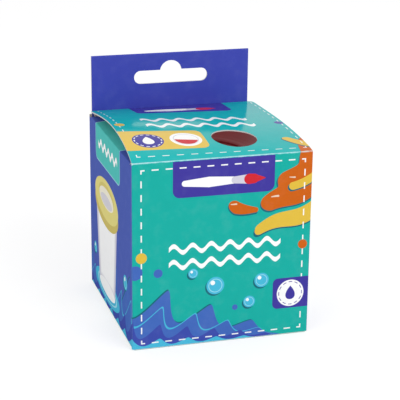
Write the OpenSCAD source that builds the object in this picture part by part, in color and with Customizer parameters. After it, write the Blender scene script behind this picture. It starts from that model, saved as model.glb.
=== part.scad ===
// Boxed paint water pot: a board carton with a hang tab, a bowed tuck lid and a round
// window, holding a small pot with a push-on collar and a spill-proof funnel.
// Millimetres, +Z up, origin at the middle of the carton's base, front panel facing -Y.

/* [Pot] */
// Height of the pot with its collar on
pot_h = 80; // [76:1:95]
// Diameter of the cup body where it enters the collar
body_top_d = 63; // [58:0.5:72]
// Diameter of the cup body at its foot
body_foot_d = 50; // [44:0.5:56]
// Wall of the cup body
body_wall = 1.2; // [0.9:0.1:1.8]
// Height of the recess under the foot
foot_recess = 1.4; // [0.8:0.1:2.5]
// Width of the ring that the pot stands on
foot_ring = 2.4; // [2:0.1:4]
// How far the bead round the cup's rim stands out
rim_bead = 0.8; // [0.5:0.1:1.2]
// Running clearance between the cup's rim and the collar
rim_fit = 0.06; // [0.02:0.01:0.1]

/* [Collar] */
// Height of the collar's outer skirt
collar_h = 15; // [13:0.5:20]
// Wall of the collar
collar_wall = 1.5; // [1.2:0.1:1.8]
// Radius of the collar's outer top edge
collar_round = 3.2; // [2.6:0.1:4]
// Wall of the ring that snaps over the cup's bead
snap_wall = 1.1; // [0.9:0.05:1.4]
// Width of the crown between the snap ring and the rounded edge
crown_flat = 0.34; // [0.2:0.02:3]
// How far the skirt draws in from its widest part to its lower edge
skirt_draw = 0.9; // [0:0.1:1.5]
// Diameter of the opening in the collar
mouth_d = 46; // [42:1:48]
// How far the collar's dish drops from its crown to the opening
collar_dip = 7; // [5:0.25:9]
// Height of the lip round the opening
lip_h = 1.2; // [0.8:0.1:2]
// Number of brush rests in the collar's crown
brush_rests = 1; // [1:1:4]
// Width of a brush rest
brush_rest_d = 6; // [4:0.5:8]
// How far a brush rest is sunk in the crown
brush_rest_depth = 2.4; // [1.5:0.1:3]

/* [Funnel] */
// Thickness of the funnel insert
funnel_wall = 1.1; // [0.9:0.1:1.5]
// Inside diameter of the throat that the brush goes through
throat_d = 17; // [14:1:22]
// Depth of the throat's lower end below the cup's rim
funnel_depth = 36; // [30:1:42]
// Length of the straight throat at the funnel's lower end
throat_len = 8; // [5:1:12]
// Clearance between the funnel's lip and the collar
lip_fit = 0.1; // [0.1:0.05:0.3]

/* [Carton] */
// Thickness of the carton board
board = 0.5; // [0.4:0.05:0.7]
// Outside radius of the upright creases
crease_r = 0.9; // [0.8:0.1:1.4]
// Free space between the collar and each side panel
side_gap = 2.5; // [2:0.1:5]
// Free space between the collar and the tuck flap's free edge
pot_gap = 0.85; // [0.6:0.05:3]
// Free space between the pot and the dust flaps' creases
headroom = 1.5; // [1:0.1:4]
// Width of the strip that glues the back panel to the right panel
glue_w = 13; // [9:0.5:18]
// How much each end of the glue strip tapers
glue_taper = 4; // [2:0.5:6]
// How far the glue strip stops below the carton's top edge
glue_down = 8; // [6:0.5:14]

/* [Lid] */
// Height of the lid's bow along its left edge
bow_left = 6; // [4:0.1:8]
// Height of the lid's bow along its right edge
bow_right = 1.8; // [1.2:0.1:6]
// How far along the lid the bow is highest, as a share of the lid
bow_peak = 0.4; // [0.35:0.01:0.5]
// How far the lid's back crease stands above its front crease
lid_rise = 1.6; // [1.2:0.1:2.5]
// How far each side edge of the lid stays inside the carton's side
lid_inset = 0.3; // [0.2:0.05:1]
// Diameter of the die-cut window
window_d = 20; // [14:0.5:22]
// Window centre, to the right of the carton's middle
window_x = 9.9; // [6:0.1:11]
// Window centre, behind the front crease
window_back = 17.5; // [15:0.1:22]
// Length of the tuck flap
tuck_len = 13; // [10:0.5:15]
// Corner radius of the tuck flap
tuck_corner_r = 7; // [4:0.5:8]
// How far the tuck flap turns for each degree that the lid turns
tuck_turn = 0.4; // [0.2:0.05:0.5]
// Clearance between the lid's back crease and the hang tab
tuck_gap = 0.15; // [0.1:0.05:0.4]
// Length of the two dust flaps
dust_len = 17; // [12:0.5:26]
// How far the dust flaps start behind the front panel
dust_front_gap = 2; // [1.5:0.1:5]
// How far the dust flaps end in front of the tuck flap
dust_back_gap = 2.6; // [2.2:0.1:5]
// Corner radius of the dust flaps
dust_corner_r = 3; // [1:0.5:5]
// Angle at which the left dust flap springs up against the lid
dust_left_angle = 6; // [1:0.5:6]
// Angle at which the right dust flap springs up against the lid
dust_right_angle = 2.5; // [1:0.5:3]

/* [Hang tab] */
// Height of the hang tab above the carton
tab_h = 27.4; // [24:0.2:34]
// How far each side of the hang tab stays inside the carton's side
tab_inset = 2; // [1.4:0.2:4]
// How far the hang tab stands to the left of the carton's middle
tab_left = 0.8; // [0:0.1:0.9]
// How far the tab's front ply is glued down behind the tuck flap
tab_glue = 14; // [12:0.5:20]
// Length of the hanging slot from end to end
slot_len = 35.5; // [30:0.5:40]
// Height of the hanging slot
slot_h = 6.2; // [5:0.1:8]
// Height of the slot's centre line above the carton
slot_up = 16.2; // [13:0.1:18]
// Width of the round notch above the slot's middle
notch_d = 10.6; // [9:0.1:12]
// How far the notch rises above the slot
notch_rise = 4.4; // [3:0.1:4.5]

/* [Base] */
// Length of the two dust flaps under the pot
base_dust_len = 28; // [22:1:32]
// Free space round the edges of the base flaps
base_gap = 0.6; // [0.4:0.1:1.5]

/* [Hidden] */
$fn = 96;
// A cut runs past the face it goes through by this much
past = 1;

// The carton is made round the pot, and the pot from the cup's rim outward
swing_gap = 0.25;
rim_r = body_top_d / 2;
flange_r = rim_r + rim_bead;
snap_r = flange_r + rim_fit;
snap_out = snap_r + snap_wall;
crown_r = snap_out + crown_flat;
collar_r = crown_r + collar_round;
tuck_set_in = pow((1 + tuck_turn) * tuck_len, 2) / (4 * collar_r) + swing_gap;
tuck_lean = asin(tuck_set_in / tuck_len);
depth_gap = 2 * board + tuck_gap + tuck_set_in + pot_gap;
carton_w = 2 * collar_r + 2 * (side_gap + board);
carton_d = 2 * collar_r + 2 * (depth_gap + board);
pot_z = 3 * board;
carton_h = pot_z + pot_h + headroom + 2 * board;
front_y = -carton_d / 2;
back_y = carton_d / 2;
side_x = carton_w / 2;

// Lid
lid_front = front_y + board;
lid_back = back_y - 2 * board - tuck_gap;
lid_len = lid_back - lid_front;
lid_half = side_x - lid_inset;
bow_power = ln(0.5) / ln(bow_peak);
lid_steps = 16;
lid_bands = 3;
// The lid's sections crowd towards its front, where it bends most
lid_crowding = 1.15;
lid_nose = 5;
// The die-cut side edges lean in by this much through the board
cut_lean = 0.05;
tuck_axis_z = carton_h + lid_rise - board;
tuck_side_gap = 1;
tuck_half = side_x - 2 * board - tuck_side_gap;
tuck_start = 0.15;

// Dust flaps
dust_z = carton_h - 2 * board;
dust_front = front_y + dust_front_gap;
dust_back = lid_back - board - dust_back_gap;
dust_taper = 10;

// Pot, measured from its own foot
lip_z = pot_h - collar_dip - lip_h;
flange_z = lip_z - lip_fit;
rim_z = flange_z - funnel_wall;
rim_break = 0.3;
bead_half = 0.5;
bead_slope = 1.1;
bead_down = 2.2;
bead_z = rim_z - bead_down;
snap_down = 6;
snap_z = rim_z - snap_down;
snap_foot = 1.2;
snap_low = snap_z - snap_foot;
clamp_w = 1.4;
clamp_in = flange_r - clamp_w;
skirt_z = pot_h - collar_h;
mouth_r = mouth_d / 2;
throat_r = throat_d / 2;
crown_z = pot_h - collar_round;
foot_r = body_foot_d / 2;
foot_edge_r = 2.2;
foot_slope = 0.8;
floor_edge_r = 3;
floor_z = foot_recess + body_wall;
mouth_break = 0.5;
cone_gap = 1.5;
cone_root = 1;
brush_angle = 60;
brush_reach = 4.5;

// A point at a distance and an angle from a centre
function polar(c, r, a) = [c[0] + r * cos(a), c[1] + r * sin(a)];

// An arc as points, from angle a0 to a1 about c
function arc(c, r, a0, a1, n = 8) = [for (i = [0:n]) polar(c, r, a0 + (a1 - a0) * i / n)];

// A smooth step from 0 to 1
function ease(t) = t * t * (3 - 2 * t);

// The outline with its corners rounded: each point is [x, y, radius]
function unit(v) = v / norm(v);
function rounded(pts, n = 6) = [for (i = [0:len(pts) - 1])
    let (p = [pts[i][0], pts[i][1]],
        a = pts[(i + len(pts) - 1) % len(pts)], b = pts[(i + 1) % len(pts)],
        u = unit([a[0], a[1]] - p), v = unit([b[0], b[1]] - p),
        half = acos(u * v) / 2, r = pts[i][2])
    each r == 0 ? [p] :
        let (c = p + unit(u + v) * r / sin(half),
            s = p + u * r / tan(half) - c, e = p + v * r / tan(half) - c,
            a0 = atan2(s[1], s[0]), a1 = atan2(e[1], e[0]),
            turn = a1 - a0 > 180 ? a1 - a0 - 360 : a1 - a0 < -180 ? a1 - a0 + 360 : a1 - a0)
        [for (k = [0:n]) polar(c, r, a0 + turn * k / n)]];

// A quarter ring of board round an upright crease, in the quadrant that sx and sy give
module crease(sx, sy) {
    intersection() {
        difference() {
            circle(r = crease_r);
            circle(r = crease_r - board);
        }
        scale([sx, sy]) square(crease_r + past);
    }
}

// The plan of a panel that carries both of its upright creases; its face is at y = 0
module creased_plan() {
    translate([-side_x + crease_r, 0]) square([carton_w - 2 * crease_r, board]);
    translate([-side_x + crease_r, crease_r]) crease(-1, -1);
    translate([side_x - crease_r, crease_r]) crease(1, -1);
}

module front_panel() {
    color("lightseagreen")
    translate([0, front_y, board])
        linear_extrude(carton_h - 2 * board) creased_plan();
}

module back_panel() {
    color("slateblue")
    translate([0, back_y, 2 * board])
        linear_extrude(carton_h - 2 * board) mirror([0, 1]) creased_plan();
}

// A side panel between the creases; side is -1 for the left and 1 for the right
module side_panel(side) {
    color("slateblue")
    translate([side < 0 ? -side_x : side_x - board, front_y + crease_r, 3 * board])
        cube([board, carton_d - 2 * crease_r, carton_h - 5 * board]);
}
module left_panel() { side_panel(-1); }
module right_panel() { side_panel(1); }

// The strip is an extension of the back panel, glued inside the right panel
module glue_strip() {
    bottom = 3 * board + base_gap;
    top = carton_h - glue_down;
    outline = [[0, bottom], [glue_w, bottom + glue_taper], [glue_w, top - glue_taper], [0, top]];
    color("lightgray")
    translate([side_x - board, back_y - crease_r, 0])
        rotate([90, 0, -90]) linear_extrude(board) polygon(outline);
}

// The hanging slot: a round-ended slot with a round notch over its middle
module slot_outline() {
    translate([0, slot_up]) {
        square([slot_len - slot_h, slot_h], center = true);
        for (s = [-1, 1]) translate([s * (slot_len - slot_h) / 2, 0]) circle(d = slot_h);
        translate([0, slot_h / 2 + notch_rise - notch_d / 2]) circle(d = notch_d);
    }
}

// A ply of the tab, its foot down below the carton's top edge by drop
module tab_ply(face_y, drop) {
    half = side_x - tab_inset;
    translate([-tab_left, face_y + board, carton_h]) rotate([90, 0, 0])
        linear_extrude(board) difference() {
            translate([-half, -drop]) square([2 * half, tab_h - board + drop]);
            slot_outline();
        }
}

module hang_tab_rear() {
    color("slateblue") tab_ply(back_y - board, 0);
}

// The front ply carries the fold along the tab's top edge
module hang_tab_front() {
    half = side_x - tab_inset;
    color("slateblue") {
        tab_ply(back_y - 2 * board, tab_glue);
        translate([-half - tab_left, back_y - board, carton_h + tab_h - board])
            intersection() {
                rotate([0, 90, 0]) cylinder(r = board, h = 2 * half);
                translate([0, -board - past, 0])
                    cube([2 * half, 2 * (board + past), board + past]);
            }
    }
}

// A flap's section: board thick, with a round nose at its crease; length runs along +X
module flap_section(length) {
    translate([board, 0]) square([length - board, board]);
    intersection() {
        translate([board, 0]) circle(r = board, $fn = 48);
        square([board, board]);
    }
}

// A base flap turned over, so that its rounded nose is underneath
module base_flap(length, width) {
    translate([0, width / 2, board]) rotate([90, 0, 0])
        linear_extrude(width) mirror([0, 1]) flap_section(length);
}

module base_outer_flap() {
    color("lightseagreen")
    translate([0, front_y, 0]) rotate([0, 0, 90])
        base_flap(carton_d - base_gap, carton_w - 2 * (board + base_gap));
}

module base_inner_flap() {
    color("slateblue")
    translate([0, back_y, board]) rotate([0, 0, -90])
        base_flap(carton_d - board - base_gap, carton_w - 2 * (board + base_gap));
}

// A dust flap of the base, creased to a side panel
module base_dust(side) {
    color("slateblue")
    translate([side * side_x, 0, 2 * board]) rotate([0, 0, side < 0 ? 0 : 180])
        base_flap(base_dust_len, carton_d - 2 * (board + base_gap));
}
module base_dust_left() { base_dust(-1); }
module base_dust_right() { base_dust(1); }

// Height of the lid's top face above the carton at u along it, 0 at the front crease
function bow_at(x) = bow_left + (bow_right - bow_left) * (x + lid_half) / (2 * lid_half);
function lid_top(x, u) = carton_h + bow_at(x) * sin(180 * pow(u, bow_power)) + lid_rise * u;

// One section of the lid across the carton at x: its rounded nose, its top face going back
// and its underside coming forward
function lid_section(x) =
    let (us = [for (i = [0:lid_steps]) pow(i / lid_steps, lid_crowding)],
        under_x = x * (1 - cut_lean / lid_half))
    concat(
        [for (p = arc([lid_front, carton_h - board], board, 180, 105, lid_nose - 1)) [x, p[0], p[1]]],
        [for (u = us) [x, lid_front + u * lid_len, lid_top(x, u)]],
        [for (i = [lid_steps:-1:0]) let (u = us[i])
            [under_x, lid_front + u * lid_len, lid_top(x, u) - board]]);

// The faces that close one end of the lid: a fan at the nose, then a strip along the sheet
function lid_end(n) = concat(
    [for (i = [0:lid_nose - 1]) [n - 1, i, i + 1]],
    [for (i = [0:lid_steps - 1]) [lid_nose + i, lid_nose + i + 1, n - 2 - i, n - 1 - i]]);

// The bowed sheet, skinned through its sections
module lid_sheet() {
    sections = [for (k = [0:lid_bands]) lid_section(-lid_half + 2 * lid_half * k / lid_bands)];
    n = len(sections[0]);
    polyhedron(points = [for (s = sections) each s], faces = concat(
        lid_end(n),
        [for (k = [0:lid_bands - 1], i = [0:n - 1]) let (j = (i + 1) % n)
            each [[k * n + i, (k + 1) * n + i, (k + 1) * n + j],
                [k * n + i, (k + 1) * n + j, k * n + j]]],
        [for (face = lid_end(n)) [for (i = [len(face) - 1:-1:0]) lid_bands * n + face[i]]]));
}

module lid_panel() {
    color("lightseagreen") difference() {
        lid_sheet();
        translate([window_x, front_y + window_back, carton_h - past])
            cylinder(d = window_d, h = bow_left + lid_rise + 2 * past, $fn = 64);
    }
}

// The tuck flap hangs from the lid's back crease and leans in at its free edge
module tuck_flap() {
    outline = rounded([[-tuck_half, -tuck_start, 0], [-tuck_half + board, -tuck_len, tuck_corner_r],
        [tuck_half - board, -tuck_len, tuck_corner_r], [tuck_half, -tuck_start, 0]]);
    color("lightseagreen")
    translate([0, lid_back, tuck_axis_z]) rotate([90 - tuck_lean, 0, 0])
        linear_extrude(board) polygon(outline);
}

// A dust flap with its front edge mitred to clear the lid as both swing up
module dust_flap(side) {
    angle = side < 0 ? dust_left_angle : dust_right_angle;
    back_end = dust_back - dust_len * tan(dust_taper);
    outline = rounded([[board, dust_front + board, 0], [dust_len, dust_front + dust_len, dust_corner_r],
        [dust_len, back_end, dust_corner_r], [board, dust_back, 0]]);
    color("slateblue")
    translate([side * side_x, 0, dust_z]) scale([-side, 1, 1]) rotate([0, -angle, 0]) {
        linear_extrude(board) polygon(outline);
        translate([0, dust_back, 0]) rotate([90, 0, 0])
            linear_extrude(dust_back - dust_front - board) flap_section(2 * board);
    }
}
module dust_flap_left() { dust_flap(-1); }
module dust_flap_right() { dust_flap(1); }

// Outer radius of the cup's tapered wall at height z
function body_r(z) =
    foot_r + (rim_r - foot_r) * pow((z - foot_edge_r) / (snap_z - foot_edge_r), 0.9);

// The cup: a tapered wall on a ring foot, with a bead round its rim
module cup_body() {
    wall_steps = 6;
    inner_low = floor_z + floor_edge_r;
    wall_zs = [for (i = [0:wall_steps])
        foot_edge_r + (snap_z - foot_edge_r) * i / wall_steps];
    inner_zs = [for (i = [wall_steps:-1:0]) inner_low + (snap_z - inner_low) * i / wall_steps];
    outline = concat(
        [[0, foot_recess], [foot_r - foot_ring - foot_slope, foot_recess], [foot_r - foot_ring, 0]],
        arc([foot_r - foot_edge_r, foot_edge_r], foot_edge_r, -90, -10, 5),
        [for (z = wall_zs) [body_r(z), z]],
        [[rim_r, bead_z - bead_half - bead_slope], [flange_r, bead_z - bead_half],
            [flange_r, bead_z + bead_half], [rim_r, rim_z - rim_break], [rim_r - rim_break, rim_z],
            [rim_r - body_wall + rim_break, rim_z], [rim_r - body_wall, rim_z - rim_break]],
        [for (z = inner_zs) [body_r(z) - body_wall, z]],
        arc([body_r(inner_low) - body_wall - floor_edge_r, inner_low], floor_edge_r, -10, -90, 5),
        [[0, floor_z]]);
    color("ghostwhite") translate([0, 0, pot_z]) rotate_extrude() polygon(outline);
}

// Height of the dish in the collar's top at radius r, between its crown and its opening
function dish_z(r) = pot_h - collar_dip * ease((crown_r - r) / (crown_r - mouth_r));

// The collar's upper face in section, from its crown to near the opening
dish_steps = 8;
crown_arc = arc([crown_r, crown_z], collar_round, 0, 90, 8);
dish_curve = [for (i = [1:dish_steps])
    let (r = crown_r - (crown_r - mouth_r - mouth_break) * i / dish_steps) [r, dish_z(r)]];

// The collar's underside between two radii, going outward
function dish_under(r0, r1, n) = [for (i = [0:n])
    let (r = r0 + (r1 - r0) * i / n) [r, dish_z(r) - collar_wall]];

// A round bar across the crown where a brush lies
module brush_bar(d) {
    translate([crown_r - brush_reach, 0, pot_h - brush_rest_depth + brush_rest_d / 2])
        rotate([0, 90, 0]) cylinder(d = d, h = collar_round + brush_reach + past);
}

// The collar: a dished, skirted ring that snaps over the cup's rim and clamps the funnel
module lid_collar() {
    bead_low = bead_z - bead_half - bead_slope - rim_fit;
    rest_r = snap_out - brush_reach;
    rest_z = crown_z - 2 * collar_wall;
    outline = concat(
        [[collar_r - skirt_draw, skirt_z]],
        crown_arc, dish_curve,
        [[mouth_r, dish_z(mouth_r) - mouth_break], [mouth_r, lip_z], [mouth_r + collar_wall, lip_z]],
        dish_under(mouth_r + collar_wall, clamp_in, 4),
        [[clamp_in, flange_z], [snap_r, flange_z], [snap_r, bead_z - bead_half - rim_fit],
            [rim_r + rim_fit, bead_low], [rim_r + rim_fit, bead_low - 2 * bead_half],
            [snap_r, snap_low], [snap_out, snap_low]],
        dish_under(snap_out, crown_r, 2),
        arc([crown_r, crown_z], collar_round - collar_wall, 80, 0, 6),
        [[collar_r - skirt_draw - collar_wall, skirt_z]]);
    envelope = concat(crown_arc, [for (p = dish_curve) if (p[0] > rest_r) p],
        [[rest_r, rest_z], [collar_r, rest_z]]);
    color("firebrick") translate([0, 0, pot_z]) difference() {
        union() {
            rotate_extrude() polygon(outline);
            for (i = [0:brush_rests - 1]) rotate([0, 0, brush_angle + 360 * i / brush_rests])
                intersection() {
                    rotate_extrude() polygon(envelope);
                    brush_bar(brush_rest_d + 2 * collar_wall);
                }
        }
        for (i = [0:brush_rests - 1]) rotate([0, 0, brush_angle + 360 * i / brush_rests])
            brush_bar(brush_rest_d);
    }
}

// Outer radius of the funnel at a share s of the way down from its flange to the throat
function funnel_r(s) =
    throat_r + funnel_wall + (mouth_r - throat_r - cone_gap) * pow(1 - s, 1.5);

// The funnel: a flange on the cup's rim, a curved cone and a straight throat
module funnel_insert() {
    cone_steps = 10;
    cone_top = rim_z - cone_root;
    low = rim_z - funnel_depth;
    cone_low = low + throat_len;
    cone = [for (i = [0:cone_steps]) let (s = i / cone_steps)
        [funnel_r(s), cone_top + (cone_low - cone_top) * s]];
    outline = concat(
        [[flange_r, rim_z], [flange_r, flange_z], [funnel_r(0) + funnel_wall / 2, flange_z]],
        [for (p = cone) [p[0] - funnel_wall, p[1] + funnel_wall / 2]],
        [[throat_r, low], [throat_r + funnel_wall, low]],
        [for (i = [cone_steps:-1:0]) cone[i]],
        [[funnel_r(0) + cone_root + funnel_wall / 2, rim_z]]);
    color("firebrick") translate([0, 0, pot_z]) rotate_extrude() polygon(outline);
}

front_panel();
back_panel();
left_panel();
right_panel();
glue_strip();
hang_tab_rear();
hang_tab_front();
base_outer_flap();
base_inner_flap();
base_dust_left();
base_dust_right();
lid_panel();
tuck_flap();
dust_flap_left();
dust_flap_right();
cup_body();
lid_collar();
funnel_insert();
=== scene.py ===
import math

import bpy
from mathutils import Matrix, Vector
from mathutils.geometry import delaunay_2d_cdt


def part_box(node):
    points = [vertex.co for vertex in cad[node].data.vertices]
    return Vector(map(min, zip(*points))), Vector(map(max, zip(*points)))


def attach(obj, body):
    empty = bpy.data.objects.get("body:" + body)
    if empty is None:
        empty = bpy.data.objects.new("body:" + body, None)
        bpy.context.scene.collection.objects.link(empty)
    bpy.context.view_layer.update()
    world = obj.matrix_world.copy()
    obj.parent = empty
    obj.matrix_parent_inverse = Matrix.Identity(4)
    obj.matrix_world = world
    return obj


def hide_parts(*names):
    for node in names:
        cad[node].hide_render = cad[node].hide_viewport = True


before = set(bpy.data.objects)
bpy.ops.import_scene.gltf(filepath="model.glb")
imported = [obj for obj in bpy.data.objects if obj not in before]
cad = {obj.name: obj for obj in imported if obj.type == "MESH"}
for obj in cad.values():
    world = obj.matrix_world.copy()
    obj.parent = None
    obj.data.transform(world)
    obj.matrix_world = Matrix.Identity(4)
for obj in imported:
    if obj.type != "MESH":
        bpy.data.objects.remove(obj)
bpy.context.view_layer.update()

mm = 0.001


def reach(node):  # lowest and highest corner of a piece, in millimetres
    low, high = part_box(node)
    return low / mm, high / mm


# the carton as it was packed, in millimetres
halfWidth = reach("front_panel")[1].x
frontY = reach("front_panel")[0].y
backY = reach("back_panel")[1].y
cartonTop = reach("back_panel")[1].z
cartonDepth = backY - frontY
print("carton", *[round(size, 2) for size in (2 * halfWidth, cartonDepth, cartonTop)], "wide, deep and high")

inks = {  # printing inks, board and moulding colours, each as 0 to 255
    "teal": (22, 171, 160),
    "lidTeal": (8, 178, 177),
    "tealShade": (24, 104, 118),
    "sideTeal": (82, 192, 186),
    "indigo": (64, 56, 154),
    "sideIndigo": (75, 94, 177),
    "tabIndigo": (65, 73, 173),
    "royal": (66, 104, 184),
    "royalDeep": (60, 76, 168),
    "sky": (72, 184, 216),
    "paleSky": (176, 228, 240),
    "orange": (202, 96, 20),
    "yellow": (222, 186, 66),
    "stripYellow": (226, 192, 84),
    "ringYellow": (226, 214, 132),
    "ringDeep": (206, 188, 104),
    "poppy": (206, 40, 52),
    "white": (248, 248, 248),
    "black": (0, 0, 0),
    "lilac": (206, 204, 218),
    "cream": (240, 234, 214),
    "boardCore": (222, 220, 218),
    # pale cyan of ink cracked on a worn fold, which also serves as the painted highlight along the folds
    "crackAndHighlight": (204, 234, 240),
    "boardRaw": (206, 202, 194),
    "boardFleck": (172, 166, 156),
    "collarRed": (148, 42, 46),
    "collarDeep": (112, 28, 32),
    "potWhite": (236, 236, 232),
    "potMilk": (222, 224, 222),
}


def ink(name):
    parts = [c / 255 for c in inks[name]]
    return (*[c / 12.92 if c <= 0.04045 else ((c + 0.055) / 1.055) ** 2.4 for c in parts], 1.0)


class Wire:
    # one output in a material; sums on it add the maths nodes
    def __init__(self, bench, socket):
        self.bench, self.socket = bench, socket

    def sum(self, operation, *others, clamp=False):
        settings = {"operation": operation, "use_clamp": clamp}
        return self.bench.node("ShaderNodeMath", settings, [self, *others])

    def swapped(self, operation, other):
        return self.bench.node("ShaderNodeMath", {"operation": operation}, [other, self])

    def __add__(self, other):
        return self.sum("ADD", other)

    def __radd__(self, other):
        return self.swapped("ADD", other)

    def __sub__(self, other):
        return self.sum("SUBTRACT", other)

    def __rsub__(self, other):
        return self.swapped("SUBTRACT", other)

    def __mul__(self, other):
        return self.sum("MULTIPLY", other)

    def __rmul__(self, other):
        return self.swapped("MULTIPLY", other)

    def __truediv__(self, other):
        return self.sum("DIVIDE", other)

    def __rtruediv__(self, other):
        return self.swapped("DIVIDE", other)

    def __pow__(self, other):
        return self.sum("POWER", other)

    def __rpow__(self, other):
        return self.swapped("POWER", other)

    def __abs__(self):
        return self.sum("ABSOLUTE")

    def __neg__(self):
        return self * -1

    def __gt__(self, other):
        return self.sum("GREATER_THAN", other)

    def __lt__(self, other):
        return self.sum("LESS_THAN", other)

    def most(self, other):
        return self.sum("MAXIMUM", other)

    def least(self, other):
        return self.sum("MINIMUM", other)

    def held(self):  # kept between 0 and 1
        return self.sum("ADD", 0.0, clamp=True)


class Bench:
    # the nodes of one material, or of the surround, with the coordinates that every finish starts from
    def __init__(self, holder):
        holder.use_nodes = True
        self.holder, self.tree = holder, holder.node_tree
        self.tree.nodes.clear()

    def node(self, kind, settings=None, sockets=None, out=0):
        made = self.tree.nodes.new(kind)
        for key, value in (settings or {}).items():
            setattr(made, key, value)
        pairs = sockets.items() if isinstance(sockets, dict) else enumerate(sockets or [])
        for key, value in pairs:
            if isinstance(value, Wire):
                self.tree.links.new(value.socket, made.inputs[key])
            elif value is not None:
                made.inputs[key].default_value = value
        return Wire(self, made.outputs[out])

    def split(self, vector):  # its x, y and z
        parts = self.node("ShaderNodeSeparateXYZ", None, [vector]).socket.node
        return [Wire(self, part) for part in parts.outputs]

    def place(self):  # x, y and z in millimetres, where the piece lies at rest
        coordinates = self.node("ShaderNodeTexCoord", out="Object")
        self.at = self.vector("SCALE", coordinates, scale=1 / mm)
        return self.split(self.at)

    def facing(self):  # the surface's own direction, which stays with the piece
        return self.split(self.node("ShaderNodeTexCoord", out="Normal"))

    def vector(self, operation, *values, scale=None):
        sockets = dict(enumerate(values))
        if scale is not None:
            sockets["Scale"] = scale
        out = 1 if operation in ("DISTANCE", "LENGTH", "DOT_PRODUCT") else 0
        return self.node("ShaderNodeVectorMath", {"operation": operation}, sockets, out)

    def over(self, ground, top, share):  # one colour laid over another; 6 and 7 are the node's colours
        settings = {"data_type": "RGBA"}
        return self.node("ShaderNodeMix", settings, {0: share, 6: ground, 7: top}, 2)

    def blur(self, size, detail=2.0, roughness=0.5, at=None):  # soft noise; size in millimetres
        sockets = {"Vector": at or self.at, "Scale": 1 / size, "Detail": detail, "Roughness": roughness}
        return self.node("ShaderNodeTexNoise", {"noise_dimensions": "3D"}, sockets)

    def bump(self, height, depth, normal=None):  # depth in millimetres
        sockets = {"Strength": 1.0, "Distance": depth * mm, "Height": height, "Normal": normal}
        return self.node("ShaderNodeBump", None, sockets)

    def show(self, shader, kind="Material"):
        output = self.tree.nodes.new("ShaderNodeOutput" + kind)
        self.tree.links.new(shader.socket, output.inputs["Surface"])

    def finish(self, sockets):
        self.show(self.node("ShaderNodeBsdfPrincipled", None, sockets))
        return self.holder


def newBench(name):
    return Bench(bpy.data.materials.new(name))


def patches(noise, level, steepness, share):
    # where a noise is past a level, or below it if the steepness is negative
    return ((noise - level) * steepness).held() * share


class Press:
    # prints shapes on one panel; u and v run over the flat blank in millimetres
    crisp = 9.0  # how sharp a printed edge is, per millimetre
    slopeCare = 0.8  # keeps a wavy line as thick on its slopes as at its crests
    dropFullness = 1.3  # brings the widest place of a drop's outline to half its width

    def __init__(self, bench, u, v, ground):
        self.bench, self.u, self.v, self.colour = bench, u, v, ground
        self.at = bench.node("ShaderNodeCombineXYZ", None, [u, v, 0.0])

    def cover(self, gap, crisp=None):  # 1 inside a shape, 0 outside
        settings = {"operation": "MULTIPLY_ADD", "use_clamp": True}
        return self.bench.node("ShaderNodeMath", settings, [gap, -(crisp or self.crisp), 0.5])

    def lay(self, gap, colour, share=1.0, crisp=None):
        mask = self.cover(gap, crisp)
        if share != 1.0:
            mask = mask * share
        self.colour = self.bench.over(self.colour, ink(colour), mask)

    def distance(self, centre):
        return self.bench.vector("DISTANCE", self.at, (*centre, 0.0))

    def disc(self, centre, radius):
        return self.distance(centre) - radius

    def ring(self, centre, radius, width):
        return abs(self.distance(centre) - radius) - width / 2

    def oval(self, centre, halfU, halfV):
        squeezed = self.bench.vector("MULTIPLY", self.at, (1.0, halfU / halfV, 0.0))
        away = self.bench.vector("DISTANCE", squeezed, (centre[0], centre[1] * halfU / halfV, 0.0))
        return (away - halfU) * (halfV / halfU)

    def block(self, low, high, corner):  # rounded rectangle between two corners
        middle = [(a + b) / 2 for a, b in zip(low, high)]
        half = [(b - a) / 2 - corner for a, b in zip(low, high)]
        away = self.bench.vector("SUBTRACT", self.at, (*middle, 0.0))
        away = self.bench.vector("ABSOLUTE", away)
        away = self.bench.vector("SUBTRACT", away, (*half, 0.0))
        away = self.bench.vector("MAXIMUM", away, (0.0, 0.0, 0.0))
        return self.bench.vector("LENGTH", away) - corner

    def bar(self, start, end, radius, endRadius):  # a round-ended stroke that may taper
        along = [b - a for a, b in zip(start, end)]
        square = along[0] ** 2 + along[1] ** 2
        away = self.bench.vector("SUBTRACT", self.at, (*start, 0.0))
        perLength = (along[0] / square, along[1] / square, 0.0)
        share = self.bench.vector("DOT_PRODUCT", away, perLength).held()
        nearest = self.bench.vector("SCALE", (*along, 0.0), scale=share)
        return self.bench.vector("DISTANCE", away, nearest) - (share * (endRadius - radius) + radius)

    def waves(self, centre, halfLength, rise, pitch, width):  # one wavy line
        swing = ((self.u - centre[0]) * (2 * math.pi / pitch)).sum("SINE") * rise
        gap = abs(self.v - centre[1] - swing) * self.slopeCare - width / 2
        return gap.most(abs(self.u - centre[0]) - halfLength)

    def stitches(self, low, high, counts, dash, width):  # a dashed border with a dash on each corner
        middle = [(a + b) / 2 for a, b in zip(low, high)]
        half = [(b - a) / 2 for a, b in zip(low, high)]
        gaps = []
        for line, along, k in ((self.v, self.u, 0), (self.u, self.v, 1)):
            pitch = (high[k] - low[k]) / counts[k]
            row = abs(abs(line - middle[1 - k]) - half[1 - k]) - width / 2
            pastEnds = abs(along - middle[k]) - half[k] - width / 2
            dashes = (along - low[k]).sum("PINGPONG", pitch / 2) - dash / 2
            gaps.append(row.most(pastEnds).most(dashes))
        return gaps[0].least(gaps[1])

    def stitchRing(self, centre, radius, count, dash, width):
        aside = self.bench.split(self.bench.vector("SUBTRACT", self.at, (*centre, 0.0)))
        turn = aside[1].sum("ARCTAN2", aside[0])
        dashes = (turn + math.pi).sum("PINGPONG", math.pi / count) * radius - dash / 2
        return self.ring(centre, radius, width).most(dashes)

    def drop(self, centre, height, width):  # a water drop, pointed at the top
        share = ((self.v - (centre[1] - height / 2)) / height).held()
        halfWide = (share ** 0.5) * (1 - share) * (self.dropFullness * width)
        return (abs(self.u - centre[0]) - halfWide).most(abs(self.v - centre[1]) - height / 2)


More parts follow.
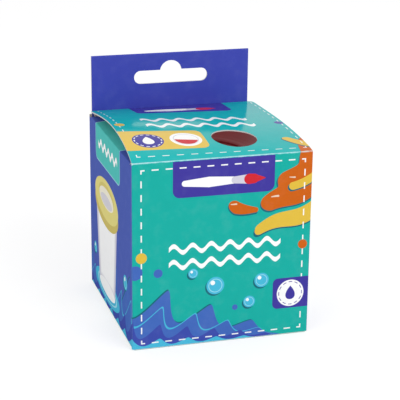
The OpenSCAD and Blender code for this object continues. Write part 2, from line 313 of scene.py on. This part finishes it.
# The printed motifs, which may run over several panels of the blank

paint = {
    # strokes as pairs of an end and its radius, in the order they are laid
    "layers": [
        ("orange", [[((53.0, 87.0), 6.6), ((28.5, 71.5), 4.2)],
                    [((50.0, 74.5), 6.8), ((21.5, 61.0), 3.7)],
                    [((42.0, 98.0), 3.0), ((39.0, 82.0), 6.4)]]),
        ("yellow", [[((55.0, 80.0), 3.0), ((32.0, 69.5), 1.8)],
                    [((54.0, 62.5), 4.6), ((15.5, 50.0), 2.5)],
                    [((47.0, 87.0), 3.4), ((33.5, 99.5), 2.0)]]),
        ("orange", [[((6.5, 62.5), 3.0), ((15.0, 59.5), 1.2)]]),
    ],
    "blend": 3.0,
    "sway": 1.3,
    "swayLength": 4.6,
    "shadow": (-0.5, -0.8),
    # small lights on the paint: place and half length; the rise and radius at each end are shares of it
    "shines": [((5.8, 63.8), 1.2), ((24.4, 63.6), 1.5), ((30.6, 73.3), 1.2)],
    "shineRise": (-0.1, 0.2),
    "shineRadius": (0.15, 0.3),
    "shineShare": 0.7,
}


def strokes(press, bars):  # strokes that run together like wet paint
    gap = None
    for (start, radius), (end, endRadius) in bars:
        piece = press.bar(start, end, radius, endRadius)
        gap = piece if gap is None else gap.sum("SMOOTH_MIN", piece, paint["blend"])
    return gap


def layPaint(press):
    bench, flat = press.bench, press.at
    turned = bench.node("ShaderNodeCombineXYZ", None, [press.v, press.u, 0.0])
    beat = bench.vector("SCALE", turned, scale=1 / paint["swayLength"])
    sway = bench.vector("SCALE", bench.vector("SINE", beat), scale=paint["sway"])
    swayed = bench.vector("ADD", flat, sway)
    lifted = bench.vector("SUBTRACT", swayed, (*paint["shadow"], 0.0))
    for colour, bars in paint["layers"]:
        for place, printing in ((lifted, "tealShade"), (swayed, colour)):
            press.at = place
            press.lay(strokes(press, bars), printing)
    (riseNear, riseFar), (near, far) = paint["shineRise"], paint["shineRadius"]
    for (u, v), size in paint["shines"]:
        ends = (u - size, v + riseNear * size), (u + size, v + riseFar * size)
        press.lay(press.bar(*ends, near * size, far * size), "cream", paint["shineShare"])
    press.at = flat


water = {
    # layered waves: colour, height, rise and pitch of the crests, their start, and how far they lean
    "layers": [
        ("tealShade", 15.6, 21.0, 23.0, 13.2, -0.45),
        ("royal", 15.0, 21.0, 23.0, 12.6, -0.45),
        ("sky", 11.6, 13.5, 17.0, 2.0, -0.5),
        ("royal", 10.6, 13.5, 17.0, 2.0, -0.5),
        ("royalDeep", 5.6, 8.5, 13.0, 6.0, -0.4),
        ("sky", 1.8, 4.0, 13.0, 3.0, -0.3),
    ],
    "roundness": 0.02,
    "fullness": 0.85,
    "edge": 0.5,
}
bubble = {  # the ring and the glint are shares of its radius
    "shadow": (-0.6, -0.7),
    "ring": 0.74,
    "ringWidth": 0.1,
    "ringShare": 0.6,
    "glint": (-0.3, 0.34),
    "glintRadius": 0.26,
}


def layBubble(press, centre, radius):
    under = [a + b for a, b in zip(centre, bubble["shadow"])]
    glint = [a + b * radius for a, b in zip(centre, bubble["glint"])]
    ring = press.ring(centre, bubble["ring"] * radius, bubble["ringWidth"] * radius)
    press.lay(press.disc(under, radius), "tealShade")
    press.lay(press.disc(centre, radius), "sky")
    press.lay(ring, "paleSky", bubble["ringShare"])
    press.lay(press.disc(glint, bubble["glintRadius"] * radius), "white")


def layWater(press, peak, leftReach, rightReach, bubbles, beads=()):
    # the waves are highest at the peak and run out at their reach on either side
    aside = press.u - peak
    share = 1 - aside.most(0.0) / rightReach - (-aside).most(0.0) / leftReach
    share = share.held() ** water["fullness"]
    for colour, height, rise, pitch, start, lean in water["layers"]:
        swing = ((press.u + press.v * lean + start) * (math.pi / pitch)).sum("SINE")
        crest = (1 - (swing * swing + water["roundness"]).sum("SQRT")) * rise + height
        press.lay((press.v - crest * share) * water["edge"], colour)
    for centre, radius in beads:
        press.lay(press.disc(centre, radius), "royal")
    for centre, radius in bubbles:
        layBubble(press, centre, radius)


brush = [  # start and end along it, the radius at each as a share of its thickness, and the colour
    (0.0, 0.3, 0.28, 0.5, "white"),
    (0.3, 0.6, 0.5, 0.34, "white"),
    (0.62, 0.76, 0.34, 0.44, "lilac"),
    (0.8, 0.86, 0.5, 0.46, "poppy"),
    (0.86, 1.0, 0.46, 0.04, "poppy"),
]


def layBrush(press, start, end, thick):  # a paint brush from the end of its handle to its tip
    def at(share):
        return [a + (b - a) * share for a, b in zip(start, end)]

    for near, far, radius, endRadius, colour in brush:
        press.lay(press.bar(at(near), at(far), radius * thick, endRadius * thick), colour)


stitch = {
    "counts": (12, 13),
    "dash": 3.0,
    "width": 0.56,
    "share": 0.95,
}
wavyLine = {
    "rise": 1.5,
    "pitch": 8.33,
    "width": 1.7,
}


def layBorder(press, ends, width=stitch["width"], share=stitch["share"]):
    press.lay(press.stitches(*ends, stitch["counts"], stitch["dash"], width), "white", share)


def layLines(press, lines, rise=wavyLine["rise"], width=wavyLine["width"]):
    for centre, halfLength in lines:
        press.lay(press.waves(centre, halfLength, rise, wavyLine["pitch"], width), "white")


def layDots(press, dots):
    for centre, radius, colour in dots:
        press.lay(press.disc(centre, radius), colour)


front = {
    # a block is given by two corners and their rounding, a disc or dot by its centre and radius
    "water": (-halfWidth, 150.0, 68.0),
    "bubbles": [((-3.0, 26.5), 4.0), ((12.5, 17.5), 2.7), ((18.0, 27.0), 3.3), ((-13.0, 33.0), 2.2)],
    "beads": [((-38.6, 35.5), 3.3), ((-28.5, 34.5), 2.0), ((6.0, 15.5), 1.3)],
    "badge": ((-22.2, 67.4), (22.8, 90.0), 3.2),
    "brush": ((-17.0, 73.6), (18.5, 73.6), 4.6),
    "border": ((-35.8, 2.9), (36.4, 80.6)),
    "dots": [((-35.8, 42.0), 2.4, "yellow"), ((36.4, 42.0), 2.1, "orange")],
    "lines": [((1.2, 44.6), 25.0), ((1.2, 37.6), 25.0)],
    "corner": ((23.2, 12.6), (52.0, 26.9), 2.4),
    "disc": ((31.4, 19.6), 6.2),
    "discRing": ((31.4, 19.6), 5.3, 12, 1.6, 0.35),
    "drop": ((31.4, 19.8), 6.4, 4.4),
}


def frontPrint(press):
    layPaint(press)
    layWater(press, *front["water"], front["bubbles"], front["beads"])
    press.lay(press.block(*front["badge"]), "indigo")
    layBorder(press, front["border"])
    press.lay(press.block(*front["corner"]), "indigo")
    layDots(press, front["dots"])
    layLines(press, front["lines"])
    layBrush(press, *front["brush"])
    press.lay(press.disc(*front["disc"]), "white")
    press.lay(press.stitchRing(*front["discRing"]), "indigo")
    press.lay(press.drop(*front["drop"]), "indigo")


side = {  # laid out for the right side; the left one is its mirror image
    "water": (halfWidth + cartonDepth, 110.0, 110.0),
    "bubbles": [((52.0, 27.0), 3.4), ((113.0, 22.0), 2.8)],
    "badge": ((61.0, 67.2), (109.7, 96.0), 3.4),
    "badgeLine": 0.45,
    "badgeLineShare": 0.8,
    "badgeWave": ((85.0, 76.0), 19.0, 1.5, 7.6, 1.9),
    "pot": (88.5, 53.6),
    "foot": 10.0,
    "footOval": (15.9, 3.4),
    "halfBody": 18.3,
    "taper": 0.13,
    "shade": 3.0,
    "shadeCrisp": 0.35,
    "puddle": (25.0, 6.5),
    "ripple": 1.6,
    "rippleWidth": 0.5,
    "rippleShare": 0.7,
    # the pot's ring: how far below the rim, half width, half height, colour and share
    "rings": [
        (4.5, 23.5, 9.4, "ringDeep", 1.0),
        (1.0, 23.5, 9.4, "ringYellow", 1.0),
        (-0.8, 15.6, 5.4, "ringDeep", 0.6),
        (0.2, 14.4, 4.6, "cream", 1.0),
        (1.4, 11.6, 2.8, "lilac", 0.8),
    ],
}


def sidePrint(press, sign):  # sign is -1 on the left and 1 on the right
    def at(u, v):
        return (sign * u, v)

    def both(low, high):
        ends = sorted((sign * low[0], sign * high[0]))
        return (ends[0], low[1]), (ends[1], high[1])

    bubbles = [(at(*centre), radius) for centre, radius in side["bubbles"]]
    layWater(press, *(front["water"] if sign < 0 else side["water"]), bubbles)
    low, high, corner = side["badge"]
    badge = press.block(*both(low, high), corner)
    press.lay(badge, "paleSky", side["badgeLineShare"])
    press.lay(badge + side["badgeLine"], "sideTeal")
    centre, *wave = side["badgeWave"]
    press.lay(press.waves(at(*centre), *wave), "white")
    middle, rim = side["pot"]
    foot = at(middle, side["foot"])
    puddle = press.oval(foot, *side["puddle"])
    press.lay(puddle, "sky")
    press.lay(abs(puddle + side["ripple"]) - side["rippleWidth"] / 2, "paleSky", side["rippleShare"])
    halfWide = (press.v - rim / 2) * side["taper"] + side["halfBody"]
    pastEnds = abs(press.v - (side["foot"] + rim) / 2) - (rim - side["foot"]) / 2
    body = (abs(press.u - sign * middle) - halfWide).most(pastEnds)
    press.lay(body, "lilac")
    press.lay(body + side["shade"], "white", crisp=side["shadeCrisp"])
    press.lay(press.oval(foot, *side["footOval"]), "white")
    for drop, halfU, halfV, colour, share in side["rings"]:
        press.lay(press.oval(at(middle, rim - drop), halfU, halfV), colour, share)


lid = {
    "border": ((-36.6, 87.6), (38.0, 169.3)),
    "stitchWidth": 0.46,
    "stitchShare": 0.85,
    "badge": ((-21.4, 148.0), (24.0, 175.0), 3.2),
    "brush": ((-15.0, 155.0), (17.5, 155.0), 6.0),
    "strip": ((-46.0, 92.2), (-3.2, 111.6), 3.4),
    "dots": [((-36.1, 122.0), 2.3, "yellow"), ((37.4, 122.0), 2.1, "indigo")],
    "lines": [((0.0, 130.5), 24.5), ((0.5, 120.0), 25.0)],
    "lineRise": 2.0,
    "lineWidth": 2.6,
    "leftDisc": ((-28.6, 100.9), 6.8),
    "leftRing": ((-28.6, 100.9), 5.9, 14, 1.5, 0.5),
    "drop": ((-28.6, 100.9), 7.4, 5.0),
    "rightDisc": ((-11.8, 101.3), 7.0),
    "rightRing": ((-11.8, 101.3), 5.4, 0.35),
    "levelRadius": 5.1,
    "levelTilt": 0.12,
    "levelDown": 0.6,
}


def lidPrint(press):
    layPaint(press)
    layBorder(press, lid["border"], lid["stitchWidth"], lid["stitchShare"])
    press.lay(press.block(*lid["badge"]), "indigo")
    press.lay(press.block(*lid["strip"]), "stripYellow")
    layDots(press, lid["dots"])
    layLines(press, lid["lines"], lid["lineRise"], lid["lineWidth"])
    press.lay(press.disc(*lid["leftDisc"]), "indigo")
    press.lay(press.stitchRing(*lid["leftRing"]), "white")
    press.lay(press.drop(*lid["drop"]), "white")
    press.lay(press.disc(*lid["rightDisc"]), "white")
    (u, v), _ = lid["rightDisc"]
    level = press.v - v + (press.u - u) * lid["levelTilt"] + lid["levelDown"]
    press.lay(press.disc((u, v), lid["levelRadius"]).most(level), "poppy")
    press.lay(press.ring(*lid["rightRing"]), "lilac")
    layBrush(press, *lid["brush"])


back = {
    "water": (-halfWidth, 110.0, 170.0),
    "bubbles": [((-14.0, 31.0), 3.0), ((13.0, 27.0), 3.6)],
    "beads": [((4.0, 29.0), 1.6)],
    "border": ((-36.0, 2.9), (36.0, 80.6)),
    "badge": ((-22.5, 62.0), (22.5, 74.0), 3.2),
    "brush": ((-17.0, 68.0), (17.0, 68.0), 4.6),
    "lines": [((0.0, 52.0), 24.5), ((0.0, 45.0), 24.5)],
    "dots": [((-36.0, 42.0), 2.3, "yellow"), ((36.0, 42.0), 2.3, "orange")],
}


def backPrint(press):
    layWater(press, *back["water"], back["bubbles"], back["beads"])
    layBorder(press, back["border"])
    press.lay(press.block(*back["badge"]), "teal")
    layBrush(press, *back["brush"])
    layLines(press, back["lines"])
    layDots(press, back["dots"])


# The board: coated and printed outside, pale at its cut edges, grey-white and rough inside

board = {
    "thick": 0.5,
    "corner": 0.9,
    "mottle": 5.0,
    "wave": 16.0,
    "waveDepth": 0.4,
    "grain": 0.7,
    "grainDepth": 0.006,
    "grainSheen": 0.1,
    "fibre": 0.35,
    "fibreDepth": 0.03,
    # a level in a noise, how steeply the patches grow past it, and their share
    "paler": (0.5, 1.0, 0.06),
    "darker": (0.5, -1.0, 0.12),
    "rawFlecks": (0.56, 6.0, 0.5),
    "rawLights": (0.42, -6.0, 0.35),
    "coreFlecks": (0.5, 5.0, 0.4),
    "coatRoughness": 0.15,
    "coatIor": 1.36,
    "printRoughness": 0.5,
    "rawRoughness": 0.88,
    # the ink goes this far round a cut edge, and fades over this much
    "inkDepth": 0.2,
    "inkTurn": 0.06,
    "inkFade": 0.05,
    "foldFade": 1 / 6,
    # how squarely a face has to look outward to be printed, and aside to be a cut edge
    "printedFrom": 0.35,
    "cutUpTo": 0.6,
    "turnFade": 1 / 6,
}
gloss = {"lid": 0.7, "front": 0.3, "tab": 0.2, "side": 0.05, "back": 0.2}


def boardFinish(bench, colour, printed, edge, coat, wornAndHighlight):
    # printed is 1 on the coated face, edge is 1 on a cut edge, and the last mask is where the ink has worn
    # and where a painted highlight runs along a fold
    mottle = bench.blur(board["mottle"], 3.0)
    fine = bench.blur(board["grain"], 2.0)
    fibre = bench.blur(board["fibre"], 4.0, 0.7)
    colour = bench.over(colour, ink("white"), patches(mottle, *board["paler"]))
    colour = bench.over(colour, ink("black"), patches(mottle, *board["darker"]))
    if wornAndHighlight is not None:
        # pale worn ink, and the painted highlight along the folds
        colour = bench.over(colour, ink("crackAndHighlight"), wornAndHighlight)
    raw = bench.over(ink("boardRaw"), ink("boardFleck"), patches(fibre, *board["rawFlecks"]))
    raw = bench.over(raw, ink("white"), patches(fibre, *board["rawLights"]))
    colour = bench.over(raw, colour, printed)
    coated = printed
    if edge is not None:
        core = bench.over(ink("boardCore"), ink("boardFleck"), patches(fibre, *board["coreFlecks"]))
        colour = bench.over(colour, core, edge)
        coated = coated * (1 - edge)
    if wornAndHighlight is not None:
        coated = coated * (1 - wornAndHighlight)
    smoother = board["rawRoughness"] - board["printRoughness"]
    rough = board["rawRoughness"] - coated * smoother + (fine - 0.5) * board["grainSheen"]
    normal = bench.bump(bench.blur(board["wave"], 1.0), board["waveDepth"])
    normal = bench.bump(fine, board["grainDepth"], normal)
    normal = bench.bump(fibre * (1 - coated), board["fibreDepth"], normal)
    return bench.finish({
        "Base Color": colour,
        "Roughness": rough,
        "Specular IOR Level": 0.0,
        "Coat Weight": coated * coat,
        "Coat Roughness": board["coatRoughness"],
        "Coat IOR": board["coatIor"],
        "Normal": normal,
    })


crackAndHighlight = {  # a pale line along a fold: partly ink cracked by wear, partly a painted highlight, more in some places than in others
    "patch": 3.2,
    "patchShare": 1.3,
    "speck": 0.5,
    "speckShare": 0.5,
    "less": 0.15,
    "fade": 0.2,
    # width and share of each line
    "upright": (0.14, 0.25),
    "frontTop": (0.3, 0.6),
    "lidFront": (0.34, 0.7),
    "frontTopDown": 0.35,
    "lidFrontBack": 0.2,
}
wornCorner = {  # the corner that has met the shelf
    "place": (-halfWidth + 0.3, frontY + 0.2, cartonTop - 0.3),
    "size": 0.4,
    "patch": 0.8,
    "ragged": 0.7,
    "fade": 0.5,
    "share": 0.85,
}


# a pale line along a fold, partly cracked ink and partly a painted highlight
def crackAndHighlightLine(bench, away, width, share):
    patchy = bench.blur(crackAndHighlight["patch"], 3.0, 0.6) * crackAndHighlight["patchShare"]
    specks = bench.blur(crackAndHighlight["speck"], 2.0) * crackAndHighlight["speckShare"]
    return ((width * (patchy + specks - crackAndHighlight["less"]) - away) / crackAndHighlight["fade"]).held() * share


def cornerSpot(bench):
    away = bench.vector("DISTANCE", bench.at, wornCorner["place"])
    size = wornCorner["size"] + bench.blur(wornCorner["patch"], 2.0) * wornCorner["ragged"]
    return ((size - away) / wornCorner["fade"]).held() * wornCorner["share"]


def dress(piece, finish):
    piece.data.materials.clear()
    piece.data.materials.append(finish)


def bodyPanel(name, node, picture, ground, coat):
    bench = newBench(name)
    x, y, z = bench.place()
    up = bench.facing()[2]
    u = x + x.sum("SIGN") * (y - frontY)
    pastSide = (abs(x) - (halfWidth - board["corner"])).most(0.0)
    pastBack = (abs(y) - (backY - board["corner"])).most(0.0)
    depth = board["corner"] - (pastSide * pastSide + pastBack * pastBack).sum("SQRT")
    printed = ((board["inkDepth"] + abs(up) * board["inkTurn"] - depth) / board["inkFade"]).held()
    turned = ((abs(u) - halfWidth) / board["foldFade"] + 0.5).held()
    press = Press(bench, u, z, bench.over(ink(ground), ink("sideIndigo"), turned))
    picture(press)
    # pale lines down the upright folds, worn ink with a painted highlight, and the worn corner
    wornAndHighlight = crackAndHighlightLine(bench, abs(abs(u) - halfWidth), *crackAndHighlight["upright"]).most(cornerSpot(bench))
    if node == "front_panel":
        fromTop = abs(cartonTop - crackAndHighlight["frontTopDown"] - z)
        wornAndHighlight = wornAndHighlight.most(crackAndHighlightLine(bench, fromTop, *crackAndHighlight["frontTop"]))
    finish = boardFinish(bench, press.colour, printed, None, coat, wornAndHighlight)
    dress(cad[node], finish)


# Where u and v run on the flat pieces: over the blank, past its folds

def rightward(x, y):
    return x


def leftward(x, y):
    return -x


def upward(x, y, z):
    return z


def overLid(x, y, z):
    return y + (cartonTop - frontY)


# Which way a flat piece is printed: 1 on its coated face, 0 on a cut edge and -1 on the raw one

def printedBehind(x, y, z, nx, ny, nz):
    return ny


def printedBelow(x, y, z, nx, ny, nz):
    return -nz


def printedRight(x, y, z, nx, ny, nz):
    return nx


def tabFace(x, y, z, nx, ny, nz):  # the fold at the top is printed too
    return nz * (z > reach("hang_tab_front")[1].z - 2 * board["thick"]) - ny


def cardFace(x, y, z, nx, ny, nz):  # so is the nose at the front crease
    return nz - ny * (y < cardFront)


def dustFace(x, y, z, nx, ny, nz):  # and so is the soft fold of a dust flap
    return nz + nx * x.sum("SIGN") * (abs(x) > halfWidth - 2 * board["thick"])


def flatPanel(piece, ground, coat, printFace, across=rightward, along=upward,
              picture=None, wearAndHighlight=None):
    bench = newBench(piece.name + "Print")
    x, y, z = bench.place()
    face = printFace(x, y, z, *bench.facing())
    printed = ((face - board["printedFrom"]) / board["turnFade"]).held()
    edge = ((board["cutUpTo"] - abs(face)) / board["turnFade"]).held()
    press = Press(bench, across(x, y), along(x, y, z), ink(ground))
    if picture:
        picture(press)
    # the worn corner, plus a fold's pale line of worn ink and painted highlight
    wornAndHighlight = wearAndHighlight(bench, y).most(cornerSpot(bench)) if wearAndHighlight else None
    dress(piece, boardFinish(bench, press.colour, printed, edge, coat, wornAndHighlight))


# The lid card is drawn here as one fine bowed sheet, on the same bow as the solid that it stands for

card = {
    "bowLeft": 6.0,
    "bowRight": 1.8,
    "peak": 0.4,
    "rise": 1.6,
    "window": (9.9, frontY + 17.5),
    "windowRadius": 10.0,
    "windowPoints": 72,
    "windowSlack": 0.05,
    "backCorner": 2.4,
    "cornerSteps": 5,
    "spacing": 1.9,
    "clear": 0.8,
    "noseSteps": 5,
    "sharpEdge": 40,
}
cardLow, cardHigh = reach("lid_panel")
cardHalf, cardBack = cardHigh.x, cardHigh.y
cardFront = cardLow.y + board["thick"]
quarter = math.pi / 2


def cardHeight(x, y):  # the top face at a place
    share = min(max((y - cardFront) / (cardBack - cardFront), 0.0), 1.0)
    bow = card["bowLeft"] + (card["bowRight"] - card["bowLeft"]) * (x + cardHalf) / (2 * cardHalf)
    power = math.log(0.5) / math.log(card["peak"])
    return cartonTop + bow * math.sin(math.pi * share ** power) + card["rise"] * share


def circle(centre, radius, count, start=0.0, turn=2 * math.pi):
    angles = [start + turn * i / count for i in range(count)]
    return [(centre[0] + radius * math.cos(a), centre[1] + radius * math.sin(a)) for a in angles]


def cardPoints():  # the outline with its two rounded back corners, the window, and a grid between
    rounding, steps, spacing = card["backCorner"], card["cornerSteps"], card["spacing"]
    depth = cardBack - rounding - cardFront
    acrossCount, depthCount = round(2 * cardHalf / spacing), round(depth / spacing)
    xs = [-cardHalf + 2 * cardHalf * i / acrossCount for i in range(acrossCount + 1)]
    ys = [cardFront + depth * i / depthCount for i in range(depthCount + 1)]
    points = [(x, y) for y in ys for x in xs]
    points += [(x, cardBack) for x in xs if abs(x) < cardHalf - rounding]
    for sign, start in ((1, 0.0), (-1, quarter)):
        centre = (sign * (cardHalf - rounding), cardBack - rounding)
        points += circle(centre, rounding, steps, start + quarter / steps, quarter)[:-1]
        points.append((centre[0], cardBack))
    clear = card["windowRadius"] + card["clear"]
    points = [p for p in points if math.dist(p, card["window"]) > clear]
    return points + circle(card["window"], card["windowRadius"], card["windowPoints"])


def makeCard():
    flat, _, faces, *_ = delaunay_2d_cdt([Vector(p) for p in cardPoints()], [], [], 0, 1e-5, False)
    thick, steps = board["thick"], card["noseSteps"]

    def inBoard(face):  # not across the window
        middle = [sum(flat[i][k] for i in face) / len(face) for k in (0, 1)]
        return math.dist(middle, card["window"]) > card["windowRadius"] - card["windowSlack"]

    faces = [list(face) for face in faces if inBoard(face)]
    count = len(flat)
    tops = [(p.x, p.y, cardHeight(p.x, p.y)) for p in flat]
    verts = tops + [(x, y, z - thick) for x, y, z in tops]
    solid = faces + [[i + count for i in reversed(face)] for face in faces]
    edges = {(face[k], face[(k + 1) % len(face)]) for face in faces for k in range(len(face))}
    rims = sorted(edge for edge in edges if edge[::-1] not in edges)
    nose = {}  # from a point on the front crease to its row of points round the fold
    for i in sorted({i for edge in rims for i in edge if abs(flat[i].y - cardFront) < 0.01}):
        x, y, z = verts[i + count]
        turns = [quarter * (1 + k / steps) for k in range(1, steps + 1)]
        nose[i] = [i] + list(range(len(verts), len(verts) + steps)) + [i + count]
        verts += [(x, y + thick * math.cos(a), z + thick * math.sin(a)) for a in turns]
    for a, b in rims:
        if a in nose and b in nose:
            rowA, rowB = nose[a], nose[b]
            solid += [[rowB[k], rowA[k], rowA[k + 1], rowB[k + 1]] for k in range(len(rowA) - 1)]
        else:
            solid.append([b, a, a + count, b + count])
    ends = sorted(nose, key=lambda i: flat[i].x)
    solid += [nose[ends[0]], nose[ends[-1]][::-1]]
    mesh = bpy.data.meshes.new("lid_card")
    mesh.from_pydata([[c * mm for c in point] for point in verts], [], solid)
    mesh.shade_smooth()
    mesh.set_sharp_from_angle(angle=math.radians(card["sharpEdge"]))
    lidCard = bpy.data.objects.new("lid_card", mesh)
    bpy.context.scene.collection.objects.link(lidCard)
    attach(lidCard, "lid")
    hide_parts("lid_panel")
    return lidCard


# the pale line along the lid's front crease: worn ink and a painted highlight
def lidWearAndHighlight(bench, y):
    return crackAndHighlightLine(bench, abs(y - frontY - crackAndHighlight["lidFrontBack"]), *crackAndHighlight["lidFront"])


bodyPanel("frontPrint", "front_panel", frontPrint, "teal", gloss["front"])
for node, sign in (("left_panel", -1), ("right_panel", 1)):
    bodyPanel(node + "Print", node, lambda press, sign=sign: sidePrint(press, sign),
              "sideIndigo", gloss["side"])
print("front and sides printed")

flatPanel(cad["back_panel"], "sideIndigo", gloss["back"], printedBehind, leftward,
          picture=backPrint)
flatPanel(cad["hang_tab_rear"], "tabIndigo", gloss["tab"], printedBehind)
flatPanel(cad["hang_tab_front"], "tabIndigo", gloss["tab"], tabFace)
flatPanel(cad["tuck_flap"], "teal", gloss["front"], printedBehind)
flatPanel(makeCard(), "lidTeal", gloss["lid"], cardFace, along=overLid,
          picture=lidPrint, wearAndHighlight=lidWearAndHighlight)
for node, sign in (("dust_flap_left", -1), ("dust_flap_right", 1)):
    flatPanel(cad[node], "sideIndigo", gloss["side"], dustFace,
              lambda x, y, sign=sign: (y - frontY + halfWidth) * sign,
              lambda x, y, z, sign=sign: x * -sign + (cartonTop + halfWidth),
              lambda press, sign=sign: sidePrint(press, sign))
flatPanel(cad["base_outer_flap"], "teal", gloss["back"], printedBelow)
for node in ("base_inner_flap", "base_dust_left", "base_dust_right"):
    flatPanel(cad[node], "teal", gloss["back"], printedBelow)
flatPanel(cad["glue_strip"], "sideIndigo", gloss["side"], printedRight)
print("lid, flaps, tab and base printed")


# The pot: a red moulded collar with its funnel, and a milky cup

moulding = {
    "cloud": 9.0,
    "cloudDepth": 0.1,
    "cloudTone": (0.35, 1.2, 0.45),
    "flow": 2.2,
    "flowStretch": (1.0, 1.0, 0.25),
    "flowTone": 0.25,
    "flowSheen": 0.14,
    "fine": 0.25,
    "fineSheen": 0.06,
    "ior": 1.49,
    "coatRoughness": 0.1,
    "glowReach": (0.004, 0.003, 0.002),
    "glowScale": 0.3,
}
potRed = {
    "pieces": ["lid_collar", "funnel_insert"],
    "slot": "pot_red",
    "colours": ("collarRed", "collarDeep"),
    "roughness": 0.34,
    "grainDepth": 0.004,
    "coat": 0.15,
    "glow": 0.0,
}
potWhite = {
    "pieces": ["cup_body"],
    "slot": "pot_white",
    "colours": ("potWhite", "potMilk"),
    "roughness": 0.42,
    "grainDepth": 0.006,
    "coat": 0.0,
    "glow": 0.25,
}


def mouldedFinish(name, plastic):
    bench = newBench(name)
    bench.place()
    cloud = bench.blur(moulding["cloud"], 3.0)
    stretched = bench.vector("MULTIPLY", bench.at, moulding["flowStretch"])
    flow = bench.blur(moulding["flow"], 3.0, 0.6, stretched)
    fine = bench.blur(moulding["fine"], 2.0)
    colour, deep = plastic["colours"]
    deeper = patches(cloud, *moulding["cloudTone"]) + flow * moulding["flowTone"]
    tone = bench.over(ink(colour), ink(deep), deeper)
    sheen = (flow - 0.5) * moulding["flowSheen"] + (fine - 0.5) * moulding["fineSheen"]
    normal = bench.bump(cloud, moulding["cloudDepth"])
    normal = bench.bump(fine, plastic["grainDepth"], normal)
    finish = bench.finish({
        "Base Color": tone,
        "Roughness": plastic["roughness"] + sheen,
        "IOR": moulding["ior"],
        "Coat Weight": plastic["coat"],
        "Coat Roughness": moulding["coatRoughness"],
        "Subsurface Weight": plastic["glow"],
        "Subsurface Radius": moulding["glowReach"],
        "Subsurface Scale": moulding["glowScale"],
        "Normal": normal,
    })
    for piece in plastic["pieces"]:
        dress(cad[piece], finish)


mouldedFinish("potRed", potRed)
mouldedFinish("potWhite", potWhite)
print("pot moulded")


# The room: a pale floor, an even white surround and two soft lamps

room = {
    "floorSize": 6.0,
    "floor": 0.80,
    "paper": 0.4,
    "lift": 0.66,
    "surround": 0.74,
    "keyPower": 9.0,
    "keySize": 0.9,
    "keyPlace": (0.55, -1.15, 1.0),
    "fillPower": 3.2,
    "fillSize": 0.8,
    "fillPlace": (-1.0, -0.7, 0.9),
    "insidePower": 0.0056,
    "insideSize": 0.06,
    "insideDown": 1.2,
}
heart = (0.0, 0.0, cartonTop * mm / 2)


def grey(level):
    return (level, level, level, 1.0)


def seenRays(bench):  # 1 for what the camera sees, straight or in a reflection
    path = bench.node("ShaderNodeLightPath").socket.node
    straight, mirrored, through = [
        Wire(bench, path.outputs[name]) for name in ("Is Camera Ray", "Is Glossy Ray", "Is Transmission Ray")]
    return straight.most(mirrored).most(through)


def makeFloor():
    half = room["floorSize"] / 2
    mesh = bpy.data.meshes.new("floor")
    corners = [(-half, -half, 0), (half, -half, 0), (half, half, 0), (-half, half, 0)]
    mesh.from_pydata(corners, [], [(0, 1, 2, 3)])
    floor = bpy.data.objects.new("floor", mesh)
    bpy.context.scene.collection.objects.link(floor)
    bench = newBench("paleFloor")
    matt = bench.node("ShaderNodeBsdfDiffuse", None, {"Color": grey(room["floor"])})
    paper = bench.node("ShaderNodeBsdfDiffuse", None, {"Color": grey(room["paper"])})
    lift = bench.node("ShaderNodeEmission", None, {"Color": grey(1.0), "Strength": room["lift"]})
    bright = bench.node("ShaderNodeAddShader", None, [paper, lift])
    bench.show(bench.node("ShaderNodeMixShader", None, [seenRays(bench), matt, bright]))
    mesh.materials.append(bench.holder)


def makeSurround():
    world = bpy.data.worlds.new("surround")
    bpy.context.scene.world = world
    bench = Bench(world)
    strength = seenRays(bench) * (1.0 - room["surround"]) + room["surround"]
    sky = bench.node("ShaderNodeBackground", None, {"Color": grey(1.0), "Strength": strength})
    bench.show(sky, "World")


def makeLamp(name, place, power, size):  # each looks at the middle of the carton
    lamp = bpy.data.lights.new(name, "AREA")
    lamp.energy, lamp.size = power, size
    holder = bpy.data.objects.new(name, lamp)
    holder.location = place
    holder.rotation_mode = "QUATERNION"
    holder.rotation_quaternion = (Vector(heart) - Vector(place)).to_track_quat("-Z", "Y")
    bpy.context.scene.collection.objects.link(holder)
    return holder


makeFloor()
makeSurround()
makeLamp("key", room["keyPlace"], room["keyPower"], room["keySize"])
makeLamp("fill", room["fillPlace"], room["fillPower"], room["fillSize"])
# what the pale board inside throws back on to the pot
underLid = (0.0, 0.0, (cartonTop - room["insideDown"]) * mm)
inside = makeLamp("inside", underLid, room["insidePower"], room["insideSize"])
inside.visible_camera = False
print("room lit")

# The camera stands where the photographer stood: left of the front and a little above
shot = {
    "azimuth": -16.38,
    "elevation": 18.17,
    "roll": 0.592,
    "away": 0.62968,
    "slide": (-0.00205, -0.00925),
    "lens": 124.29,
    "sensor": 36.0,
    "clip": (0.01, 50.0),
}


def makeCamera():
    azimuth, elevation, roll = (math.radians(shot[key]) for key in ("azimuth", "elevation", "roll"))
    level = math.cos(elevation)
    toCamera = Vector((math.sin(azimuth) * level, -math.cos(azimuth) * level, math.sin(elevation)))
    right = (-toCamera).cross(Vector((0, 0, 1))).normalized()
    up = right.cross(-toCamera)
    tilted = right * math.cos(roll) + up * math.sin(roll)
    upright = up * math.cos(roll) - right * math.sin(roll)
    slideRight, slideUp = shot["slide"]
    place = Vector(heart) - tilted * slideRight - upright * slideUp + toCamera * shot["away"]
    data = bpy.data.cameras.new("shot")
    data.lens, data.sensor_width = shot["lens"], shot["sensor"]
    data.clip_start, data.clip_end = shot["clip"]
    camera = bpy.data.objects.new("shot", data)
    turn = Matrix((tilted, upright, toCamera)).transposed().to_4x4()
    camera.matrix_world = Matrix.Translation(place) @ turn
    bpy.context.scene.collection.objects.link(camera)
    bpy.context.scene.camera = camera


makeCamera()
bpy.context.scene.view_settings.view_transform = "Standard"
print("camera set")
